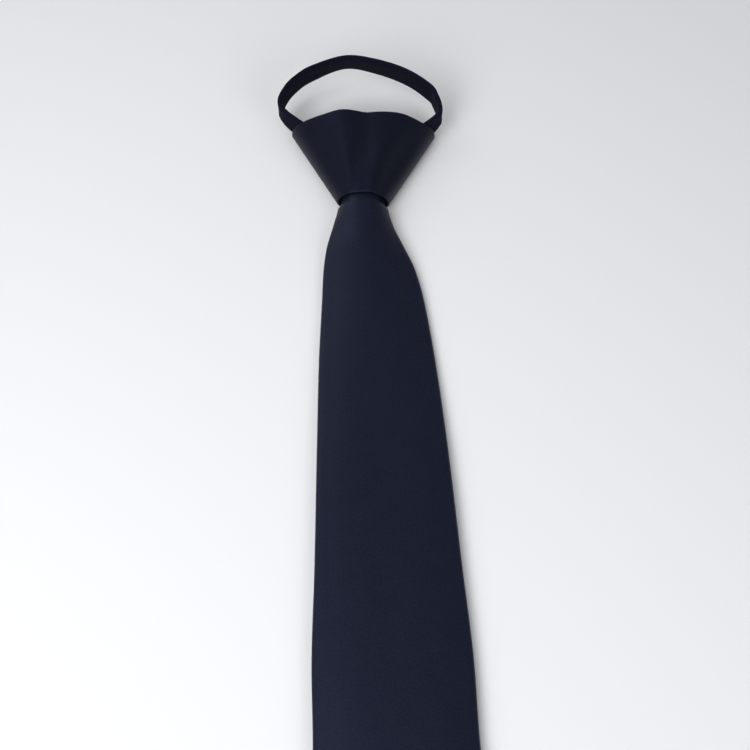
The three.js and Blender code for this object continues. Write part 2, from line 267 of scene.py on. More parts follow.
@dataclass(frozen=True)
class SatinFinish:
    """Polyester satin, woven with long floats: dark, with a broad soft sheen and fine threads."""

    name: str
    colour: str
    raised_colour: str
    grain: Grain = Grain.BIAS
    # Real threads lie about 0.1 mm apart, which no render here shows, so they are drawn wider
    thread_mm: float = 0.4
    slub_mm: float = 0.9
    cloud_mm: float = 9.0
    roughness: float = 0.4
    gloss: float = 0.18
    bump: Point = (0.14, 0.12)
    anisotropy: float = 0.35
    sheen_tint: str = "#b4c4ff"

    def material(self) -> Material:
        """Builds the satin, whose threads and sheen follow the cloth's own flat map.

        Returns:
            The material.
        """
        material, tree = new_material(self.name)
        flat = add_node(tree, "ShaderNodeUVMap", uv_map="cloth")
        turned = {"Vector": (flat, "UV"), "Rotation": (0.0, 0.0, math.radians(self.grain.value))}
        threads = add_node(tree, "ShaderNodeMapping", {**turned, "Scale": (1 / (self.thread_mm * MM),) * 3})
        # Each float is one thread wide and three long
        floats, binding = (
            add_node(tree, "ShaderNodeTexWave", {
                "Vector": (threads, "Vector"),
                "Scale": WAVE_ONCE / run,
                "Distortion": distortion,
                "Detail": detail,
            }, bands_direction=way)
            for way, run, distortion, detail in (("X", 1, 3.0, 2.0), ("Y", 3, 2.0, 1.0))
        )
        weave = add_node(tree, "ShaderNodeMath", {0: (floats, "Fac"), 1: (binding, "Fac")},
                         operation="MULTIPLY")
        cloud, fibre = (
            add_node(tree, "ShaderNodeTexNoise", {
                "Vector": (flat, "UV"),
                "Scale": 1 / (size_mm * MM),
                "Detail": detail,
                "Roughness": roughness,
            })
            for size_mm, detail, roughness in ((self.cloud_mm, 3.0, 0.6), (self.slub_mm, 2.0, 0.7))
        )
        shade = add_node(tree, "ShaderNodeMath", {0: (cloud, "Fac"), 1: 0.15, 2: (fibre, "Fac")},
                         operation="MULTIPLY_ADD")
        tone = add_node(tree, "ShaderNodeMapRange",
                        {"Value": (shade, "Value"), "From Min": 0.35, "From Max": 0.8})
        colour = add_node(tree, "ShaderNodeMix", {
            0: (tone, "Result"),
            6: linear(self.colour),
            7: linear(self.raised_colour),
        }, data_type="RGBA")
        dull = add_node(tree, "ShaderNodeMapRange", {
            "Value": (cloud, "Fac"),
            "From Min": 0.3,
            "From Max": 0.7,
            "To Min": self.roughness - 0.03,
            "To Max": self.roughness + 0.04,
        })
        height = add_node(tree, "ShaderNodeMath", {0: (weave, "Value"), 1: (fibre, "Fac")}, operation="ADD")
        tangent = add_node(tree, "ShaderNodeTangent", direction_type="UV_MAP", uv_map="cloth")
        add_skin(tree, (height, "Value"), self.bump, {
            "Base Color": (colour, 2),
            "Roughness": (dull, "Result"),
            "Tangent": (tangent, "Tangent"),
            "IOR": 1.5,
            "Specular IOR Level": self.gloss,
            "Specular Tint": linear(self.sheen_tint),
            "Anisotropic": self.anisotropy,
        })
        return material


@dataclass(frozen=True)
class EvenFinish:
    """A finish of one colour, with a fine grain that follows the piece."""

    name: str
    colour: str
    grain_mm: float = 1.0
    bump: Point = (0.1, 0.05)
    roughness: float = 0.5
    # How far the grain makes it duller and shinier, and what else its surface has
    spread: float = 0.0
    more: tuple[tuple[str, float], ...] = ()

    def grain(self, tree: NodeTree, scale: float, vector: Link) -> Node:
        """Adds soft specks, which most finishes have."""
        return add_node(tree, "ShaderNodeTexNoise", {"Vector": vector, "Scale": scale, "Detail": 2.0})

    def material(self) -> Material:
        """Builds the finish.

        Returns:
            The material.
        """
        material, tree = new_material(self.name)
        place = add_node(tree, "ShaderNodeTexCoord")
        grain = self.grain(tree, 1 / (self.grain_mm * MM), (place, "Object"))
        dull = self.roughness
        if self.spread:
            limits = {"To Min": self.roughness - self.spread, "To Max": self.roughness + self.spread}
            dull = (add_node(tree, "ShaderNodeMapRange", {"Value": (grain, "Fac"), **limits}), "Result")
        sockets = {"Base Color": linear(self.colour), "Roughness": dull, **dict(self.more)}
        add_skin(tree, (grain, "Fac"), self.bump, sockets)
        return material


@dataclass(frozen=True)
class NylonFinish(EvenFinish):
    """Dyed nylon coil, moulded smooth: dark, with small bright highlights."""

    grain_mm: float = 0.5
    bump: Point = (0.1, 0.03)
    roughness: float = 0.34
    spread: float = 0.08
    more: tuple[tuple[str, float], ...] = (("IOR", 1.53),)


@dataclass(frozen=True)
class ThreadFinish(EvenFinish):
    """Spun polyester sewing thread, twisted from two plies: a dull line with a slanting twist."""

    grain_mm: float = 0.5
    bump: Point = (0.3, 0.05)
    roughness: float = 0.6
    more: tuple[tuple[str, float], ...] = (("Sheen Weight", 0.2),)

    def grain(self, tree: NodeTree, scale: float, vector: Link) -> Node:
        """Adds the slanting lines of the twist."""
        sockets = {"Vector": vector, "Scale": WAVE_ONCE * scale}
        return add_node(tree, "ShaderNodeTexWave", sockets, bands_direction="DIAGONAL")


@dataclass(frozen=True)
class PaperFinish(EvenFinish):
    """Matt white paper, pressed smooth: an even pale floor."""

    grain_mm: float = 2.0
    bump: Point = (0.05, 0.05)
    roughness: float = 0.7
    more: tuple[tuple[str, float], ...] = (("Specular IOR Level", 0.2),)


class BladeRow(NamedTuple):
    """A section of the blade below the lip.

    down is a share of the blade's length. spread is how much of the way from the neck's width
    to the full width it has opened, aside a share of how far the knot lies from the axis, lift
    a share of the neck's height above the table, crown a share of the lip's height, flat the
    power of the crown's curve, and crest a share of the half width.
    """

    down: float
    spread: float
    aside: float
    lift: float
    crown: float
    flat: float
    crest: float


BLADE_ROWS = (
    BladeRow(0.000, 0.000, 1.00, 1.00, 0.35, 3.2, 0.00),
    BladeRow(0.006, 0.070, 1.02, 0.98, 0.38, 3.0, 0.00),
    BladeRow(0.027, 0.170, 1.06, 0.80, 0.42, 1.9, 0.03),
    BladeRow(0.050, 0.298, 0.92, 0.50, 0.43, 1.75, 0.00),
    BladeRow(0.073, 0.398, 0.63, 0.22, 0.39, 1.75, -0.04),
    BladeRow(0.107, 0.473, 0.37, 0.05, 0.30, 1.9, -0.06),
    BladeRow(0.173, 0.564, 0.22, 0.00, 0.22, 2.5, -0.05),
    BladeRow(0.266, 0.643, 0.08, 0.00, 0.19, 3.4, 0.00),
    BladeRow(0.382, 0.720, 0.02, 0.00, 0.18, 3.6, 0.00),
    BladeRow(0.465, 0.786, 0.00, 0.00, 0.18, 3.6, 0.00),
    BladeRow(0.540, 0.790, 0.00, 0.00, 0.18, 3.6, 0.00),
    BladeRow(0.700, 0.885, 0.00, 0.00, 0.12, 3.4, 0.00),
    BladeRow(0.920, 1.000, 0.00, 0.00, 0.05, 3.0, 0.00),
    BladeRow(1.000, 1.000, 0.00, 0.00, 0.03, 3.0, 0.00),
)


class KnotFold(NamedTuple):
    """A fold down the knot's face.

    rim and lip place it as shares of the half width, height and breadth are shares of the
    rim's height and of the half width, and end is the share of the knot's length, from the
    rim, at which it has died away.
    """

    rim: float
    lip: float
    height: float
    breadth: float
    end: float


KNOT_FOLDS = (
    KnotFold(-0.31, -0.40, 0.085, 0.19, 0.8),
    KnotFold(0.05, 0.02, -0.045, 0.12, 0.6),
    KnotFold(0.52, 0.26, 0.050, 0.22, 1.2),
    KnotFold(0.87, 0.74, -0.065, 0.20, 1.1),
    KnotFold(-0.88, -0.70, -0.060, 0.22, 1.2),
)


class KnotCrease(NamedTuple):
    """A soft crease in the knot's face between its rim and lip.

    rim and lip place it as shares of the half width, height is in millimetres, breadth a share
    of the half width, and middle and reach say, as shares of the knot's length from the lip,
    where it is strongest and how far it runs.
    """

    rim: float
    lip: float
    height: float
    breadth: float
    middle: float
    reach: float


KNOT_CREASES = (
    KnotCrease(0.58, 0.26, 1.10, 0.20, 0.48, 0.36),
    KnotCrease(0.88, 0.66, -1.20, 0.16, 0.50, 0.34),
    KnotCrease(-0.62, -0.75, -0.50, 0.20, 0.40, 0.35),
    KnotCrease(-0.02, -0.30, -0.45, 0.16, 0.30, 0.35),
)


class LoopRow(NamedTuple):
    """A station of the neck band outside the knot.

    across is a share of half the loop's width, back and rise of its depth and rise, lean is
    how far the band's upper edge leans into the loop, in degrees, and width a share of the
    band's width.
    """

    across: float
    back: float
    rise: float
    lean: float
    width: float


LOOP_ROWS = (
    LoopRow(-0.930, 0.210, 0.150, 0.0, 0.80),
    LoopRow(-0.990, 0.350, 0.320, -2.0, 0.88),
    LoopRow(-0.930, 0.525, 0.490, 4.0, 1.02),
    LoopRow(-0.805, 0.685, 0.650, 9.0, 1.08),
    LoopRow(-0.600, 0.840, 0.800, 13.0, 1.10),
    LoopRow(-0.187, 1.000, 0.975, 19.0, 1.08),
    LoopRow(0.200, 0.940, 0.900, 16.0, 1.10),
    LoopRow(0.575, 0.790, 0.740, 12.0, 1.12),
    LoopRow(0.860, 0.570, 0.530, 6.0, 1.06),
    LoopRow(0.950, 0.420, 0.370, 2.0, 0.99),
    LoopRow(0.990, 0.250, 0.200, -2.0, 0.86),
    LoopRow(0.950, 0.150, 0.080, 0.0, 0.80),
)


class ArmRow(NamedTuple):
    """A station of one arm of the neck band inside the knot.

    out is a share of the way from its place at the slider to its place in the mouth, up a
    share of the length between them, rise of its height in the mouth, and lean in degrees.
    """

    out: float
    up: float
    rise: float
    lean: float
    width: float


ARM_ROWS = (
    ArmRow(0.00, 0.00, 0.00, 90.0, 0.78),
    ArmRow(0.10, 0.18, 0.12, 84.0, 0.78),
    ArmRow(0.40, 0.50, 0.50, 50.0, 0.78),
    ArmRow(0.72, 0.80, 0.90, 20.0, 0.78),
)


class TailRow(NamedTuple):
    """The tail's width at a length below the lip, both as shares of its full width."""

    down: float
    width: float


TAIL_ROWS = (
    TailRow(-1.00, 0.46),
    TailRow(0.00, 0.47),
    TailRow(0.35, 0.72),
    TailRow(0.80, 0.96),
    TailRow(1.20, 1.00),
)


@dataclass(frozen=True)
class TieSizes:
    """The sizes that the tie's pieces share, in millimetres and degrees."""

    blade_length: float = 440.0
    blade_width: float = 70.0
    tip_length: float = 35.0
    knot_length: float = 39.0
    rim_width: float = 62.8
    rim_height: float = 20.7
    lip_width: float = 20.0
    lip_height: float = 12.9
    knot_wall: float = 1.0
    knot_turn: float = -2.1
    # Where the blade has turned straight, and where the tail lies flat, as shares of the blade's
    # length and the tail's width
    straight_by: float = 0.1
    fallen_by: float = 0.6
    neck_aside: float = -4.0
    neck_inset: float = 7.0
    tail_length: float = 270.0
    tail_width: float = 26.0
    tail_thickness: float = 1.8
    tail_binding: float = 12.0
    chain_width: float = 4.0
    slider_length: float = 9.0
    clearance: float = 0.3


class Lay:
    """How the tie lies in the frame: it turns lengths along the tie into places."""

    def __init__(self, sizes: TieSizes) -> None:
        """Finds the knot's lip and the blade's axis from the blade's solid.

        Args:
            sizes: The tie's shared sizes.
        """
        self.sizes = sizes
        low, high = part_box("front_blade")
        self.axis_x = (low.x + high.x) / 2
        self.lip_y = low.y + sizes.blade_length * MM
        self.row = tracks(BLADE_ROWS, "down")
        self.turn = math.radians(sizes.knot_turn)
        self.tail_share = tracks(TAIL_ROWS, "down")["width"]

    @property
    def tail_lift(self) -> float:
        """Height of the tail's underside inside the knot."""
        return self.sizes.knot_wall + self.sizes.clearance

    @property
    def neck_lift(self) -> float:
        """Height of the blade's edges inside the knot."""
        return self.tail_lift + self.sizes.tail_thickness + self.sizes.clearance

    def on_blade(self, across: float, down: float, height: float) -> Vector:
        """Places a point on the line that blade, tail and zip share.

        Args:
            across: Distance to the right of that line.
            down: Length below the knot's lip.
            height: Height above the table.

        Returns:
            The place in the frame.
        """
        sizes = self.sizes
        left = 1 - ease(down, 0, sizes.straight_by * sizes.blade_length)
        heading = self.turn * left
        if down <= 0:
            middle = sizes.neck_aside + math.tan(self.turn) * down
        else:
            middle = sizes.neck_aside * self.row["aside"](down / sizes.blade_length)
        return Vector((
            self.axis_x + (middle + across * math.cos(heading)) * MM,
            self.lip_y + (-down + across * math.sin(heading)) * MM,
            height * MM,
        ))

    def on_knot(self, across: float, up: float, height: float) -> Vector:
        """Places a point in the knot's own frame, which is turned on the blade's neck.

        Args:
            across: Distance to the right of the knot's middle.
            up: Length above the knot's lip.
            height: Height above the table.

        Returns:
            The place in the frame.
        """
        x = self.sizes.neck_aside + across * math.cos(self.turn) - up * math.sin(self.turn)
        y = across * math.sin(self.turn) + up * math.cos(self.turn)
        return Vector((self.axis_x + x * MM, self.lip_y + y * MM, height * MM))

    def tail_height(self, down: float) -> float:
        """Returns the height of the tail's underside, which falls to the table below the lip."""
        return self.tail_lift * (1 - ease(down, 0, self.sizes.fallen_by * self.sizes.tail_width))

    def tail_half(self, down: float) -> float:
        """Returns half the tail's width, which the knot gathers."""
        return self.sizes.tail_width / 2 * self.tail_share(down / self.sizes.tail_width)


def cloth_grid(across: Sequence[float], along: Sequence[float], place: Place, flat: Flat,
               closed: bool = False, capped: bool = False) -> BMesh:
    """Lays a flat grid of cloth on its shape.

    Args:
        across: Where the grid's columns stand.
        along: Where its rows stand.
        place: Gives the place in the frame of a column and row.
        flat: Gives the same point's place on the flat cloth, in millimetres.
        closed: Whether the first and last columns meet.
        capped: Whether the open ends of a closed grid are filled.

    Returns:
        The cloth, whose faces look outwards, with its flat map in the layer "cloth".
    """
    mesh = bmesh.new()
    layer = mesh.loops.layers.uv.new("cloth")
    columns, rows = len(across) - 1, len(along) - 1
    bmesh.ops.create_grid(mesh, x_segments=columns, y_segments=rows, size=0.5)
    where = {
        vert: (across[round((vert.co.x + 0.5) * columns)], along[round((vert.co.y + 0.5) * rows)])
        for vert in mesh.verts
    }
    for face in mesh.faces:
        for loop in face.loops:
            x, y = flat(*where[loop.vert])
            loop[layer].uv = (x * MM, y * MM)
    for vert, (column, row) in where.items():
        vert.co = place(column, row)
    if closed:
        bmesh.ops.remove_doubles(mesh, verts=mesh.verts[:], dist=0.001 * MM)
    if capped:
        bmesh.ops.holes_fill(mesh, edges=[edge for edge in mesh.edges if edge.is_boundary], sides=0)
    bmesh.ops.recalc_face_normals(mesh, faces=mesh.faces[:])
    return mesh


def make_piece(name: str, mesh: BMesh, sharp: float = 50.0) -> Object:
    """Turns a bmesh into a smooth-shaded piece at the origin.

    Args:
        name: The piece's name.
        mesh: Its shape, which is freed.
        sharp: The angle between faces, in degrees, from which an edge stays crisp.

    Returns:
        The piece.
    """
    data = bpy.data.meshes.new(name)
    mesh.to_mesh(data)
    mesh.free()
    data.polygons.foreach_set("use_smooth", [True] * len(data.polygons))
    data.set_sharp_from_angle(angle=math.radians(sharp))
    piece = bpy.data.objects.new(name, data)
    bpy.context.scene.collection.objects.link(piece)
    return piece


def thicken(piece: Object, thickness: float) -> None:
    """Gives a cloth its thickness, half to each side.

    Args:
        piece: The cloth.
        thickness: In millimetres.
    """
    wall = piece.modifiers.new("cloth_thickness", "SOLIDIFY")
    wall.thickness = thickness * MM
    wall.offset = 0
    wall.use_even_offset = True
    wall.use_quality_normals = True


def add_stitch(mesh: BMesh, start: Vector, end: Vector, thickness: float) -> None:
    """Adds one visible stitch of thread to a mesh.

    Args:
        mesh: The mesh that holds the stitches.
        start: Where the thread comes up.
        end: Where it goes down.
        thickness: The thread's diameter in millimetres.
    """
    way = end - start
    turn = way.to_track_quat("X", "Z").to_matrix().to_4x4()
    size = Matrix.Diagonal((way.length / 2, thickness * MM / 2, thickness * MM / 2, 1))
    bmesh.ops.create_icosphere(
        mesh, subdivisions=1, radius=1, matrix=Matrix.Translation((start + end) / 2) @ turn @ size)


class Piece:
    """What every sub-assembly of the tie does with its finished pieces."""

    @staticmethod
    def dress(piece: Object, finish: Material, slot: str, node: str) -> None:
        """Gives a piece its material, and its place in the frame.

        Args:
            piece: The piece.
            finish: Its material.
            slot: The record's material slot; not used.
            node: The solid that it stands for.
        """
        piece.data.materials.append(finish)
        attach(piece, "root")
        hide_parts(node)
        log.info("%s: %d faces", piece.name, len(piece.data.polygons))


@dataclass
class Blade(Piece):
    """The front blade: one cut of satin, folded round to the back at both edges."""

    lay: Lay
    thickness: float = 3.0
    cloth: float = 1.2
    seam_gap: float = 0.4
    hover: float = 1.8
    # Lengths below the lip and beyond the tail's end between which the blade rises and sinks
    hover_rise: Point = (50.0, 150.0)
    hover_fall: Point = (-10.0, 60.0)
    snug: float = 0.35
    neck_fill: float = 0.85
    neck_play: float = 1.5
    fill_end: float = 6.0
    # Beyond the tail's end, where the crown over it starts to sink
    tail_fade: float = 2.0
    least_crown: float = 0.1
    ripples: tuple[Ripple, ...] = (Ripple(0.22, 34, 60, 2.7), Ripple(0.05, 11, 16, 8.1))
    relief_rise: Point = (4.0, 40.0)
    # The soft edges: their height, and from which share of the half width and on what half width
    edge_plump: float = 0.25
    plump_share: Point = (0.8, 1.0)
    plump_half: Point = (8.0, 20.0)
    # Over half the front, round a fold and along a flap
    wrap_steps: tuple[int, ...] = (22, 6, 12)
    neck_length: float = 60.0
    neck_steps: int = 56
    tip_steps: int = 26
    row_length: float = 2.2
    stitch_pitch: float = 13.0
    stitch_reach: float = 1.6
    stitch_slant: float = 1.2
    first_stitch: float = 12.0
    thread: float = 0.5

    @property
    def roll(self) -> float:
        """Distance from the section's middle line to the middle of the cloth."""
        return (self.thickness - self.cloth) / 2

    def half_width(self, down: float) -> float:
        """Finds half the blade's width.

        Args:
            down: Length below the lip.

        Returns:
            The distance from its middle to the outside of a folded edge.
        """
        sizes = self.lay.sizes
        neck = sizes.lip_width - 2 * (sizes.knot_wall + self.neck_play * sizes.clearance)
        spread = self.lay.row["spread"](max(down, 0) / sizes.blade_length)
        half = lerp(neck, sizes.blade_width, min(spread, 1.0)) / 2
        half += self.neck_fill * (1 - ease(down, -1, self.fill_end))
        widest = sizes.blade_length - sizes.tip_length
        point = (self.thickness + self.cloth) / 2
        return half if down <= widest else lerp(half, point, (down - widest) / sizes.tip_length)

    def crown(self, down: float, half: float, lift: float, flat: float) -> float:
        """Finds how far the section's middle stands above its edges.

        Args:
            down: Length below the lip.
            half: Half the section's width.
            lift: Height of its edges.
            flat: The power of its curve.

        Returns:
            The height in millimetres.
        """
        lay, sizes = self.lay, self.lay.sizes
        if down <= 0:
            used = sizes.knot_wall + 2 * sizes.clearance + lay.neck_lift + self.thickness
            return sizes.lip_height - used + self.snug
        fade_start = sizes.tail_length + self.tail_fade
        fade = 1 - ease(down, fade_start, sizes.tail_length + 2 * sizes.tail_width)
        share = min(lay.tail_half(down) / (half - self.thickness / 2), 0.9)
        tail_top = lay.tail_height(down) + sizes.tail_thickness + sizes.clearance
        over_tail = fade * (tail_top - lift) / (1 - share ** flat)
        filled = self.snug * (1 - ease(down, *self.relief_rise))
        fallen = sizes.lip_height * lay.row["crown"](down / sizes.blade_length)
        return max(fallen + filled, over_tail, self.least_crown)

    def rise(self, down: float) -> float:
        """Returns how far the stiff lining carries the blade's edges over the tail below it."""
        left = 1 - ease(down - self.lay.sizes.tail_length, *self.hover_fall)
        return self.hover * ease(down, *self.hover_rise) * left

    def relief(self, across: float, down: float) -> float:
        """Returns the height of the front's soft unevenness, right of the middle and below the lip."""
        return sum(one.at(across, down) for one in self.ripples) * ease(down, *self.relief_rise)

    def point(self, wrap: float, down: float) -> Point:
        """Finds a point of a section of the folded cloth, across and above the table.

        Args:
            wrap: Where on the cloth: -1 to 1 over the front, to 2 round a fold, to 3 along a flap.
            down: Length below the lip.

        Returns:
            The point, in millimetres.
        """
        lay = self.lay
        share_down = max(down, 0) / lay.sizes.blade_length
        half = self.half_width(down)
        lift = lay.neck_lift * max(lay.row["lift"](share_down), 0) + self.rise(down)
        flat = lay.row["flat"](share_down)
        crown = self.crown(down, half, lift, flat)
        crest = lay.row["crest"](share_down)
        reach = half - self.thickness / 2
        side, a = math.copysign(1, wrap), abs(wrap)
        seam = min(self.seam_gap / 2 / reach, 0.3)
        share = wrap if a <= 1 else side * (1 if a <= 2 else lerp(1, seam, a - 2))
        lean = 1 - crest * math.copysign(1, share - crest)
        s = (share - crest) / lean
        slope = -crown * flat * math.copysign(abs(s) ** (flat - 1), s) / lean
        size = math.hypot(slope, reach)
        normal = Vector((-slope / size, reach / size))
        outward = Vector((normal.y, -normal.x)) * side
        middle = Vector((reach * share, lift + self.thickness / 2 + crown * (1 - abs(s) ** flat)))
        angle = math.pi * min(max(a - 1, 0), 1)
        plump = self.edge_plump * ease(abs(share), *self.plump_share) * ease(half, *self.plump_half)
        front = self.roll + max(math.cos(angle), 0) * (self.relief(middle.x, down) + plump)
        place = middle + normal * (math.cos(angle) * front) + outward * (math.sin(angle) * self.roll)
        return place.x, place.y

    def place(self, wrap: float, down: float) -> Vector:
        """Returns where a point of the cloth lies in the frame."""
        across, height = self.point(wrap, down)
        return self.lay.on_blade(across, down, height)

    def flat(self, wrap: float, down: float) -> Point:
        """Finds where a point of the cloth lay before it was folded.

        Args:
            wrap: Where on the cloth, as for point.
            down: Length below the lip.

        Returns:
            The point on the flat cloth.
        """
        reach = self.half_width(down) - self.thickness / 2
        a = abs(wrap)
        x = reach * min(a, 1) + math.pi * self.roll * min(max(a - 1, 0), 1) + reach * max(a - 2, 0)
        return math.copysign(x, wrap), -down

    def rows(self) -> list[float]:
        """Spaces the cloth's rows, closer at the neck and the tip.

        Returns:
            Their lengths below the lip.
        """
        sizes = self.lay.sizes
        widest = sizes.blade_length - sizes.tip_length
        return joined(
            steps(-sizes.neck_inset, self.neck_length, self.neck_steps),
            steps(self.neck_length, widest, round((widest - self.neck_length) / self.row_length)),
            steps(widest, sizes.blade_length, self.tip_steps),
        )

    def make_cloth(self) -> Object:
        """Makes the folded cloth.

        Returns:
            The piece, with its thickness.
        """
        half_wrap = spans(0, self.wrap_steps)
        wraps = [-wrap for wrap in reversed(half_wrap)] + half_wrap[1:]
        piece = make_piece("blade", cloth_grid(wraps, self.rows(), self.place, self.flat))
        thicken(piece, self.cloth)
        return piece

    def cut(self) -> tuple[float, float, float]:
        """Measures the cut of cloth.

        Returns:
            Its width and length in metres, and its area in square metres.
        """
        rows = self.rows()
        widths = [2 * self.flat(3, down)[0] for down in rows]
        bands = zip(widths, widths[1:], rows, rows[1:])
        area = sum((a + b) / 2 * (low - high) for a, b, high, low in bands)
        return max(widths) * MM, (rows[-1] - rows[0]) * MM, area * MM * MM

    def make_seam(self) -> Object:
        """Makes the slip stitches that hold the flaps together at the back.

        Returns:
            All of them as one piece.
        """
        mesh = bmesh.new()
        sizes = self.lay.sizes
        for i in range(round((sizes.blade_length - sizes.tip_length) / self.stitch_pitch)):
            down = self.first_stitch + i * self.stitch_pitch
            height = min(self.point(3, down)[1], self.point(-3, down)[1]) - self.cloth / 2
            start = self.lay.on_blade(-self.stitch_reach, down - self.stitch_slant, height)
            end = self.lay.on_blade(self.stitch_reach, down + self.stitch_slant, height)
            add_stitch(mesh, start, end, self.thread)
        return make_piece("blade_seam_stitches", mesh)

    def build(self, satin: Material, thread: Material) -> None:
        """Builds and dresses the blade.

        Args:
            satin: The cloth's finish.
            thread: The stitches' finish.
        """
        cloth = self.make_cloth()
        self.dress(cloth, satin, "blade_satin", "front_blade")
        width, length, area = self.cut()
        self.dress(self.make_seam(), thread, "blade_satin", "front_blade")


@dataclass
class Knot(Piece):
    """The ready-made knot: a hollow funnel of satin with turned-in edges."""

    lay: Lay
    cloth: float = 0.45
    side_height: float = 4.0
    # The power of the section's curve, and how quickly its sides fall to the table at lip and rim
    fullness: float = 0.95
    side_fall: Point = (1.4, 2.1)
    relief_limit: float = 0.12
    # The gathers at the lip: their height, their number round it and where they die away
    gather: float = 0.10
    gather_count: int = 11
    gather_phase: float = 0.8
    gather_fall: Point = (0.02, 0.45)
    ripple: Ripple = Ripple(0.16, 9, 15, 5.5)
    ripple_size: Point = (20.0, 40.0)
    ripple_rise: Point = (0.0, 0.3)
    lip_recess: float = -0.8
    lip_trim: float = 2.4
    skew: float = 0.4
    girth_share: float = 1.6
    rim_facing: float = 12.0
    lip_facing: float = 5.0
    round_steps: int = 120
    # Inside the lip, round it, up the face, over the rim and down inside it
    wrap_steps: tuple[int, ...] = (5, 5, 44, 6, 10)

    @property
    def roll(self) -> float:
        """Half the distance between the two layers of a turned-in edge."""
        return (self.lay.sizes.knot_wall - self.cloth) / 2

    def fold_height(self, share: float, up: float) -> float:
        """Finds how far the folds and creases raise the knot's face.

        Args:
            share: Share of its half width.
            up: Share of its length.

        Returns:
            The height in millimetres.
        """
        height = 0.0
        for fold in KNOT_FOLDS:
            off = (share - lerp(fold.lip, fold.rim, up)) / fold.breadth
            left = 1 - min((1 - up) / fold.end, 1)
            height += self.lay.sizes.rim_height * fold.height * math.exp(-off * off) * left
        for crease in KNOT_CREASES:
            off = (share - lerp(crease.lip, crease.rim, up)) / crease.breadth
            away = (up - crease.middle) / crease.reach
            height += crease.height * math.exp(-off * off - away * away)
        return height

    def relief(self, angle: float, up: float) -> float:
        """Finds the cloth's small gathers at the lip and corners.

        Args:
            angle: About the knot's axis.
            up: Share of its length.

        Returns:
            Their height in millimetres.
        """
        gathers = self.gather * math.sin(self.gather_count * angle + self.gather_phase)
        width, length = self.ripple_size
        soft = self.ripple.at(width * math.cos(angle), length * up) * ease(up, *self.ripple_rise)
        return gathers * (1 - ease(up, *self.gather_fall)) + soft

    def surface(self, angle: float, up: float, inset: float) -> Vector:
        """Finds a point of the funnel in the frame.

        Args:
            angle: About its axis, from its right side over the face.
            up: Share of its length.
            inset: How far inside the outer face the point lies.

        Returns:
            The place in the frame.
        """
        sizes = self.lay.sizes
        half = lerp(sizes.lip_width, sizes.rim_width, up) / 2 - inset
        top = lerp(sizes.lip_height, sizes.rim_height, up) - inset
        cos, sin = math.cos(angle), math.sin(angle)
        x = half * math.copysign(abs(cos) ** self.fullness, cos)
        z = self.side_height
        if sin >= 0:
            z += (top - self.side_height) * sin ** self.fullness
            inside = min(max(up, 0), 1)
            relief = min(self.relief(angle, inside), self.relief_limit)
            z += (self.fold_height(x / half, inside) + relief) * sin
        else:
            spread = lerp(*self.side_fall, up)
            z -= (self.side_height - inset) * min(1, spread * abs(sin) ** self.fullness)
        recess = (1 - up) * self.lip_recess * max(sin, 0)
        return self.lay.on_knot(x, up * sizes.knot_length + recess - self.skew * x / half, z)

    def place(self, angle: float, wrap: float) -> Vector:
        """Finds where a point of the cloth lies.

        Args:
            angle: About the knot's axis.
            wrap: 0 to 1 up the face, to 2 over the rim, to 3 down inside it, and below 0 the
                same at the lip.

        Returns:
            The place in the frame.
        """
        length = self.lay.sizes.knot_length
        face = self.cloth / 2
        over = max(wrap - 1, -wrap, 0)
        turn = math.pi * min(over, 1)
        inset = face + self.roll * (1 - math.cos(turn))
        beyond = self.roll * math.sin(turn) / length
        inner = max(over - 1, 0)
        up = lerp(self.lip_trim / length, 1, min(max(wrap, 0), 1))
        if wrap > 0.5:
            up += beyond - inner * self.rim_facing / length
        else:
            up += inner * self.lip_facing / length - beyond
        return self.surface(angle, up, inset)

    def flat(self, angle: float, wrap: float) -> Point:
        """Finds where a point of the cloth lay on the flat.

        Args:
            angle: About the knot's axis.
            wrap: Where up the cloth, as for place.

        Returns:
            The point on the flat cloth.
        """
        sizes = self.lay.sizes
        up = min(max(wrap, 0), 1)
        lip, rim = sizes.lip_width + sizes.lip_height, sizes.rim_width + sizes.rim_height
        inner = math.copysign(max(wrap - 1, -wrap, 0) * self.rim_facing / 2, wrap)
        girth = self.girth_share * lerp(lip, rim, up)
        return angle / (2 * math.pi) * girth, up * sizes.knot_length + inner

    def build(self, satin: Material) -> None:
        """Builds and dresses the knot.

        Args:
            satin: The cloth's material, the blade's satin in darker colours as painted shade.
        """
        wraps = spans(-2, self.wrap_steps)
        angles = steps(0, 2 * math.pi, self.round_steps)
        piece = make_piece("knot_wrap", cloth_grid(angles, wraps, self.place, self.flat, closed=True))
        thicken(piece, self.cloth)
        self.dress(piece, satin, "knot_satin", "knot")
        sizes = self.lay.sizes
        girths = [self.flat(2 * math.pi, up)[0] for up in (0, 1)]
        area = sum(girths) / 2 * sizes.knot_length + girths[1] * self.rim_facing
        area += girths[0] * self.lip_facing


class Station(NamedTuple):
    """A place along a strap, with the way across its width and the way out of its face."""

    middle: Vector
    across: Vector
    face: Vector
    width: float


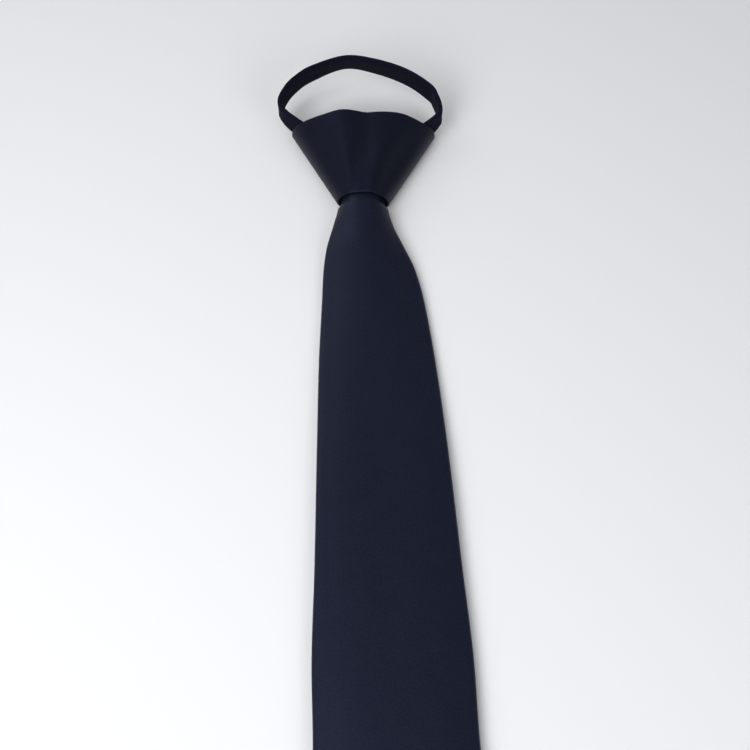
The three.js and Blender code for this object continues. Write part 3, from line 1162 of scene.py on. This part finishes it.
@dataclass
class Strap(Piece):
    """A flat strap of folded satin with round edges."""

    lay: Lay
    pressing: float = 6.0
    face_steps: int = 16

    def section(self, wrap: float, width: float, thickness: float) -> Point:
        """Finds a point of the strap's section, which is pressed thin at both edges.

        Args:
            wrap: 0 to 1 along the face and to 2 back along the other side.
            width: The strap's width.
            thickness: Its thickness in the middle.

        Returns:
            The point across the strap and out of its face.
        """
        share = -math.cos(math.pi * wrap)
        full = math.sqrt(max(1 - abs(share) ** self.pressing, 0.0))
        return width / 2 * share, math.copysign(thickness / 2 * full, 1 - wrap)

    def girth(self, wrap: float, width: float) -> float:
        """Returns how far round a strap of that width a point of its section lies."""
        share = -math.cos(math.pi * wrap)
        return width * (1 + share if wrap <= 1 else 3 - share) / 2

    def columns(self) -> list[float]:
        """Returns where round the section the cloth's columns stand."""
        return steps(0, 2, 2 * self.face_steps)


@dataclass
class NeckBand(Strap):
    """The neck loop, with both its ends running down inside the knot to the slider."""

    width: float = 12.0
    thickness: float = 2.3
    loop_width: float = 70.6
    loop_depth: float = 30.0
    loop_rise: float = 11.0
    loop_aside: float = -1.4
    loop_base: float = 8.2
    mouth_lean: float = 12.0
    mouth_share: float = 0.78
    mouth_inset: float = 1.5
    mouth_sill: float = 0.9
    skew: float = 0.4
    steps_per_row: int = 10
    # How much of a row the band's direction is taken over, to either side
    look: float = 0.05
    ripple: Ripple = Ripple(0.12, 8, 14, 1.3)
    track: dict[str, Track] = field(default_factory=dict)
    lengths: list[float] = field(default_factory=list)

    def __post_init__(self) -> None:
        """Lays out the band's stations from end to end."""
        sizes = self.lay.sizes
        lean = math.radians(self.mouth_lean)
        gathered = self.width * self.mouth_share
        wall = sizes.knot_wall + sizes.clearance
        mouth_x = sizes.rim_width / 2 - wall - self.thickness / 2
        mouth_x -= gathered / 2 * math.sin(lean) + self.mouth_inset
        mouth_z = wall + gathered / 2 * math.cos(lean) + self.mouth_sill
        slider_x = gathered / 2 + sizes.clearance
        slider_z = sizes.knot_wall + 1.5 * sizes.clearance + self.thickness / 2
        start = sizes.neck_inset + sizes.slider_length + 2 * sizes.clearance

        def mouth(side: Side) -> tuple[float, ...]:
            """Returns the station in the knot's mouth."""
            up = sizes.knot_length + sizes.clearance - side.value * self.skew
            return side.value * mouth_x, up, mouth_z, self.mouth_lean, self.mouth_share

        def arm(side: Side) -> list[tuple[float, ...]]:
            """Lays out one arm, from the slider up.

            Args:
                side: Which of the two.

            Returns:
                Its stations.
            """
            return [
                (
                    side.value * lerp(slider_x, mouth_x, row.out),
                    lerp(start, mouth(side)[1], row.up),
                    lerp(slider_z, mouth_z, row.rise),
                    row.lean,
                    row.width,
                )
                for row in ARM_ROWS
            ]

        loop = [
            (
                self.loop_aside + self.loop_width / 2 * row.across,
                sizes.knot_length + self.loop_depth * row.back,
                self.loop_base + self.loop_rise * row.rise,
                row.lean,
                row.width,
            )
            for row in LOOP_ROWS
        ]
        rows = [*arm(Side.LEFT), mouth(Side.LEFT), *loop, mouth(Side.RIGHT), *arm(Side.RIGHT)[::-1]]
        places = range(len(rows))
        names = ("x", "y", "z", "lean", "width")
        self.track = {name: Track(places, [row[i] for row in rows]) for i, name in enumerate(names)}
        self.lengths = [0.0]
        for i in range(1, len(rows)):
            chord = Vector(rows[i][:3]) - Vector(rows[i - 1][:3])
            self.lengths.append(self.lengths[-1] + chord.length)

    def middle(self, row: float) -> Vector:
        """Returns the band's middle at a row of its stations, in the knot's frame."""
        return Vector((self.track["x"](row), self.track["y"](row), self.track["z"](row)))

    def station(self, row: float) -> Station:
        """Finds the band's station at a row, in the knot's frame.

        Args:
            row: Where along its table of stations.

        Returns:
            The station.
        """
        last = len(self.lengths) - 1
        along = self.middle(min(row + self.look, last)) - self.middle(max(row - self.look, 0))
        along.normalize()
        up = (Vector((0, 0, 1)) - along * along.z).normalized()
        inward = along.cross(up)
        lean = math.radians(self.track["lean"](row))
        across = up * math.cos(lean) + inward * math.sin(lean)
        return Station(self.middle(row), across, along.cross(across).normalized(),
                       self.width * self.track["width"](row))

    def length_at(self, row: float) -> float:
        """Returns the length of band from its left end to a row."""
        i = min(int(row), len(self.lengths) - 2)
        return lerp(self.lengths[i], self.lengths[i + 1], row - i)

    def place(self, wrap: float, row: float) -> Vector:
        """Places a point of the band in the frame.

        Args:
            wrap: Where round the section.
            row: Where along the band.

        Returns:
            The place.
        """
        station = self.station(row)
        across, out = self.section(wrap, station.width, self.thickness)
        bend = self.ripple.at(across, self.length_at(row)) * out / (self.thickness / 2)
        point = station.middle + station.across * across + station.face * (out + bend)
        return self.lay.on_knot(*point)

    def flat(self, wrap: float, row: float) -> Point:
        """Returns where a point of the band's cloth lay on the flat."""
        return self.girth(wrap, self.width), self.length_at(row)

    def build(self, satin: Material) -> None:
        """Builds and dresses the neck band.

        Args:
            satin: The cloth's material, the blade's satin with a darker raised colour as painted shade.
        """
        last = len(self.lengths) - 1
        rows = steps(0, last, last * self.steps_per_row)
        mesh = cloth_grid(self.columns(), rows, self.place, self.flat, closed=True, capped=True)
        piece = make_piece("neck_loop", mesh)
        self.dress(piece, satin, "band_satin", "neck_band")


@dataclass
class ZipTail(Strap):
    """The two zipped straps behind the blade, bound together at their free end."""

    row_length: float = 3.0
    # The straps' rows under the knot, and how far they stay from the binding's end
    near_share: float = 1.2
    near_steps: int = 26
    end_gap: float = 2.0
    # The binding's rows, along it and over its pressed end
    binding_steps: tuple[int, int] = (6, 4)
    pressed: float = 1.0
    stitch: float = 2.4
    stitch_gap: float = 1.0
    stitch_inset: float = 1.6
    # Where the zip's stitches start and how far they stay from the binding
    first_stitch: float = 6.0
    last_gap: float = 2.0
    # Of the binding's stitches, from its left and inner edges
    binding_inset: Point = (2.4, 2.0)
    end_pressing: float = 0.45
    thread: float = 0.28

    @property
    def slot(self) -> float:
        """Half the space that the zip takes between the straps."""
        return self.lay.sizes.chain_width / 2 + self.lay.sizes.clearance

    def on_tail(self, across: float, down: float, height: float = 0.0) -> Vector:
        """Returns a place at a height over the tail's underside."""
        return self.lay.on_blade(across, down, self.lay.tail_height(down) + height)

    def rows(self) -> list[float]:
        """Spaces the straps' rows, closer under the knot.

        Returns:
            Their lengths below the lip.
        """
        sizes = self.lay.sizes
        near, end = self.near_share * sizes.tail_width, sizes.tail_length
        return joined(
            steps(-sizes.neck_inset, near, self.near_steps),
            steps(near, end - self.end_gap, round((end - near) / self.row_length)),
        )

    def make_strap(self, side: Side) -> Object:
        """Makes one strap.

        Args:
            side: Which of the two.

        Returns:
            The piece.
        """
        lay, thickness = self.lay, self.lay.sizes.tail_thickness

        def place(wrap: float, down: float) -> Vector:
            """Places a point of the strap in the frame.

            Args:
                wrap: Where round the section.
                down: Length below the lip.

            Returns:
                The place.
            """
            outer = lay.tail_half(down)
            across, out = self.section(wrap, outer - self.slot, thickness)
            return self.on_tail(side.value * ((outer + self.slot) / 2 + across), down, thickness / 2 + out)

        def flat(wrap: float, down: float) -> Point:
            """Returns where a point of the strap lay on the flat."""
            return self.girth(wrap, lay.sizes.tail_width / 2 - self.slot), -down

        mesh = cloth_grid(self.columns(), self.rows(), place, flat, closed=True, capped=True)
        return make_piece(f"tail_strap_{side.name.lower()}", mesh)

    def make_binding(self) -> Object:
        """Makes the folded end that binds both straps.

        Returns:
            The piece.
        """
        sizes = self.lay.sizes
        thickness = sizes.tail_thickness
        press_start = sizes.tail_length - self.pressed

        def place(wrap: float, down: float) -> Vector:
            """Places a point of the binding in the frame.

            Args:
                wrap: Where round the section.
                down: Length below the lip.

            Returns:
                The place.
            """
            across, out = self.section(wrap, sizes.tail_width, thickness)
            end = ease(down, press_start, sizes.tail_length)
            return self.on_tail(across, down, thickness / 2 + out * (1 - self.end_pressing * end * end))

        def flat(wrap: float, down: float) -> Point:
            """Returns where a point of the binding lay on the flat."""
            return self.girth(wrap, sizes.tail_width), -down

        along, over = self.binding_steps
        rows = joined(
            steps(sizes.tail_length - sizes.tail_binding, press_start, along),
            steps(press_start, sizes.tail_length, over),
        )
        mesh = cloth_grid(self.columns(), rows, place, flat, closed=True, capped=True)
        return make_piece("tail_binding", mesh)

    def make_stitches(self) -> Object:
        """Sews along the zip's tapes and across the binding.

        Returns:
            All the stitches as one piece.
        """
        sizes = self.lay.sizes
        mesh = bmesh.new()
        pitch = self.stitch + self.stitch_gap
        inner = sizes.tail_length - sizes.tail_binding
        for side in Side:
            across = side.value * (self.slot + self.stitch_inset)
            for i in range(int((inner - self.first_stitch - self.last_gap) / pitch)):
                down = self.first_stitch + i * pitch
                end = self.on_tail(across, down + self.stitch)
                add_stitch(mesh, self.on_tail(across, down), end, self.thread)
        left, down = self.binding_inset
        for i in range(int((sizes.tail_width - 2 * down) / pitch)):
            across = left - sizes.tail_width / 2 + i * pitch
            end = self.on_tail(across + self.stitch, inner + down)
            add_stitch(mesh, self.on_tail(across, inner + down), end, self.thread)
        return make_piece("tail_stitches", mesh)

    def build(self, satin: Material, thread: Material) -> None:
        """Builds and dresses the tail.

        Args:
            satin: The straps' material, the neck band's satin with its painted shade.
            thread: The stitches' finish.
        """
        for side in Side:
            strap = self.make_strap(side)
            self.dress(strap, satin, "tail_satin", "zip_tail")
        self.dress(self.make_binding(), satin, "tail_satin", "zip_tail")
        self.dress(self.make_stitches(), thread, "tail_satin", "zip_tail")


@dataclass
class Zip(Piece):
    """The closed coil zip between the straps, and its slider inside the knot."""

    lay: Lay
    thickness: float = 1.2
    tape: float = 0.4
    pitch: float = 1.3
    tooth: float = 0.62
    slider_width: float = 8.0
    slider_thickness: float = 3.4
    # The teeth's middles and breadths, as shares of half the chain's width
    tooth_place: float = 0.42
    tooth_breadth: float = 1.12
    tooth_round: float = 0.2
    slider_plate: float = 0.9
    slider_taper: float = 0.7
    slider_play: float = 0.4
    slider_round: float = 0.3
    # The post between the slider's plates, and its place as a share of their length
    post: Point = (2.0, 3.2)
    post_place: float = 0.72
    # How far the tape runs on above the teeth, and how far they stay from the binding
    beyond: float = 1.0
    tape_steps: int = 120

    def base(self, down: float) -> float:
        """Returns the height of the zip's underside."""
        sizes = self.lay.sizes
        return self.lay.tail_height(down) + (sizes.tail_thickness - self.thickness) / 2

    def make_tape(self) -> Object:
        """Makes the woven tape that carries the teeth.

        Returns:
            The piece.
        """
        lay, sizes = self.lay, self.lay.sizes
        half = sizes.chain_width / 2

        def place(across: float, down: float) -> Vector:
            """Returns where a point of the tape lies in the frame."""
            return lay.on_blade(across * half, down, self.base(down) + self.thickness / 2)

        def flat(across: float, down: float) -> Point:
            """Returns where a point of the tape lay on the flat."""
            return across * half, -down

        end = sizes.tail_length - sizes.tail_binding - sizes.clearance
        rows = steps(-sizes.neck_inset - self.beyond, end, self.tape_steps)
        piece = make_piece("zip_tape", cloth_grid(steps(-1, 1, 4), rows, place, flat))
        thicken(piece, self.tape)
        return piece

    def make_teeth(self) -> Object:
        """Makes both rows of teeth, meshed with each other.

        Returns:
            All of them as one piece.
        """
        lay, sizes = self.lay, self.lay.sizes
        mesh = bmesh.new()
        reach = sizes.chain_width / 2
        sides = (reach * self.tooth_breadth * MM, self.tooth * MM, self.thickness * MM, 1)
        run = sizes.tail_length - sizes.tail_binding + sizes.neck_inset - self.beyond
        for i in range(int(run / self.pitch)):
            for side in Side:
                down = -sizes.neck_inset + (i + (0.5 if side is Side.RIGHT else 0)) * self.pitch
                across = side.value * reach * self.tooth_place
                middle = lay.on_blade(across, down, self.base(down) + self.thickness / 2)
                place = Matrix.Translation(middle) @ Matrix.Diagonal(sides)
                bmesh.ops.create_cube(mesh, size=1, matrix=place)
        bmesh.ops.bevel(mesh, geom=mesh.edges[:], offset=self.tooth_round * MM, segments=1,
                        profile=0.5, affect="EDGES", material=-1)
        return make_piece("zip_teeth", mesh, sharp=70)

    def make_slider(self) -> Object:
        """Makes the plain slider, which the knot hides.

        Returns:
            The piece.
        """
        lay, sizes = self.lay, self.lay.sizes
        mesh = bmesh.new()
        low = sizes.neck_inset + sizes.clearance
        bottom = sizes.knot_wall + sizes.clearance
        plate, thickness = self.slider_plate, self.slider_thickness
        plates = (self.slider_width - self.slider_play, sizes.slider_length - self.slider_play, plate)
        boxes = (
            (*plates, 0.5, plate / 2, self.slider_taper),
            (*plates, 0.5, thickness - plate / 2, self.slider_taper),
            (*self.post, thickness - plate, self.post_place, thickness / 2, 1.0),
        )
        for wide, long, tall, along, height, taper in boxes:
            for vert in bmesh.ops.create_cube(mesh, size=1)["verts"]:
                vert.co = lay.on_knot(
                    vert.co.x * wide * (taper if vert.co.y < 0 else 1.0),
                    low + sizes.slider_length * along + vert.co.y * long,
                    bottom + height + vert.co.z * tall,
                )
        bmesh.ops.bevel(mesh, geom=mesh.edges[:], offset=self.slider_round * MM, segments=3,
                        profile=0.5, affect="EDGES", material=-1)
        bmesh.ops.recalc_face_normals(mesh, faces=mesh.faces[:])
        return make_piece("zip_slider", mesh, sharp=60)

    def build(self, tape: Material, nylon: Material) -> None:
        """Builds and dresses the zip.

        Args:
            tape: The tape's finish.
            nylon: The teeth's and slider's finish.
        """
        self.dress(self.make_tape(), tape, "zip_nylon", "zipper")
        self.dress(self.make_teeth(), nylon, "zip_nylon", "zipper")
        self.dress(self.make_slider(), nylon, "zip_nylon", "zipper")


class SoftLight(NamedTuple):
    """A rectangular soft light: its place from the knot and its size in metres, and its watts."""

    name: str
    place: tuple[float, float, float]
    width: float
    height: float
    power: float
    colour: str


SOFT_LIGHTS = (
    SoftLight("window_high", (-0.26, -0.18, 0.55), 0.50, 0.46, 2.15, "#fdfeff"),
    SoftLight("window_front", (-0.48, -0.60, 0.50), 0.50, 0.40, 2.4, "#fdfeff"),
    SoftLight("room_right", (0.52, -0.54, 0.50), 0.50, 0.40, 1.5, "#ffffff"),
    SoftLight("back_left", (-0.75, 1.00, 0.85), 1.00, 0.80, 3.6, "#f6f9ff"),
)


@dataclass
class Studio:
    """The pale floor, the soft light and the camera."""

    lay: Lay
    floor_size: float = 4000.0
    floor_gap: float = 0.1
    sky: str = "#fbfcff"
    sky_strength: float = 0.36
    # Where the lights aim, in the knot's frame
    aim_up: float = -80.0
    # The camera's place in the knot's frame, and its aim below the horizon
    camera_across: float = 5.13
    camera_up: float = -420.15
    camera_height: float = 549.7
    camera_tilt: float = 58.4
    focal_px: float = 1600.0
    frame_px: float = 750.0
    sensor: float = 36.0

    def make_floor(self, paper: Material) -> None:
        """Lays the floor just under the tie.

        Args:
            paper: Its finish.
        """
        mesh = bmesh.new()
        bmesh.ops.create_grid(mesh, x_segments=2, y_segments=2, size=self.floor_size / 2 * MM)
        bmesh.ops.translate(mesh, verts=mesh.verts[:], vec=(0, 0, -self.floor_gap * MM))
        floor = make_piece("floor", mesh)
        floor.data.materials.append(paper)

    def hang(self, lamp: SoftLight) -> None:
        """Hangs one soft light that faces the tie.

        Args:
            lamp: Where it hangs and what it gives.
        """
        data = bpy.data.lights.new(lamp.name, "AREA")
        data.shape = "RECTANGLE"
        data.energy = lamp.power
        data.size = lamp.width
        data.size_y = lamp.height
        data.color = linear(lamp.colour)[:3]
        light = bpy.data.objects.new(lamp.name, data)
        light.visible_camera = False
        target = self.lay.on_knot(0, self.aim_up, 0)
        light.location = target + Vector(lamp.place)
        light.rotation_euler = (target - light.location).to_track_quat("-Z", "Y").to_euler()
        bpy.context.scene.collection.objects.link(light)

    def make_world(self) -> None:
        """Fills the room with even light."""
        world = bpy.data.worlds.new("soft_room")
        world.use_nodes = True
        tree = world.node_tree
        tree.nodes.clear()
        sockets = {"Color": linear(self.sky), "Strength": self.sky_strength}
        sky = add_node(tree, "ShaderNodeBackground", sockets)
        add_node(tree, "ShaderNodeOutputWorld", {"Surface": (sky, "Background")})
        bpy.context.scene.world = world

    def make_camera(self) -> None:
        """Sets the camera at the photograph's place and angle."""
        data = bpy.data.cameras.new("camera")
        data.sensor_width = self.sensor
        data.lens = self.focal_px / self.frame_px * self.sensor
        data.clip_start = 0.01
        data.clip_end = 20
        camera = bpy.data.objects.new("camera", data)
        camera.location = self.lay.on_knot(self.camera_across, self.camera_up, self.camera_height)
        camera.rotation_euler = (math.radians(90 - self.camera_tilt), 0, self.lay.turn)
        bpy.context.scene.collection.objects.link(camera)
        bpy.context.scene.camera = camera

    def build(self, paper: Material) -> None:
        """Builds the floor, lights and camera.

        Args:
            paper: The floor's finish.
        """
        self.make_floor(paper)
        self.make_world()
        for lamp in SOFT_LIGHTS:
            self.hang(lamp)
        self.make_camera()
        bpy.context.scene.view_settings.view_transform = "Standard"


def main() -> None:
    """Builds the tie and its studio."""
    logging.basicConfig(level=logging.INFO, format="%(name)s: %(message)s")
    log.info("frame read: %s", type(frame).__name__)
    lay = Lay(TieSizes())
    Studio(lay).build(PaperFinish("white_paper", "#e9e9ea").material())
    thread = ThreadFinish("navy_polyester_thread", "#1d2233").material()
    blade = SatinFinish("polyester_satin_blade", "#10121c", "#181b29", gloss=0.22).material()
    Blade(lay).build(blade, thread)
    # The knot's satin is the blade's cloth in darker colours: painted shade for the knot's face, which
    # takes less light.
    Knot(lay).build(SatinFinish("polyester_satin_knot_painted_shade", "#0b0c15", "#11131d", gloss=0.21).material())
    # The band's satin is the blade's cloth with a darker raised colour: painted shade for the band, which
    # stands in shadow. The zip tail shares it.
    band = SatinFinish("polyester_satin_strap_painted_shade", "#10121c", "#161826", gloss=0.03, roughness=0.6).material()
    NeckBand(lay).build(band)
    ZipTail(lay).build(band, thread)
    tape = SatinFinish("woven_zip_tape", "#101424", "#191d30", Grain.STRAIGHT).material()
    Zip(lay).build(tape, NylonFinish("nylon_coil", "#141824").material())


if __name__ == "__main__":
    main()
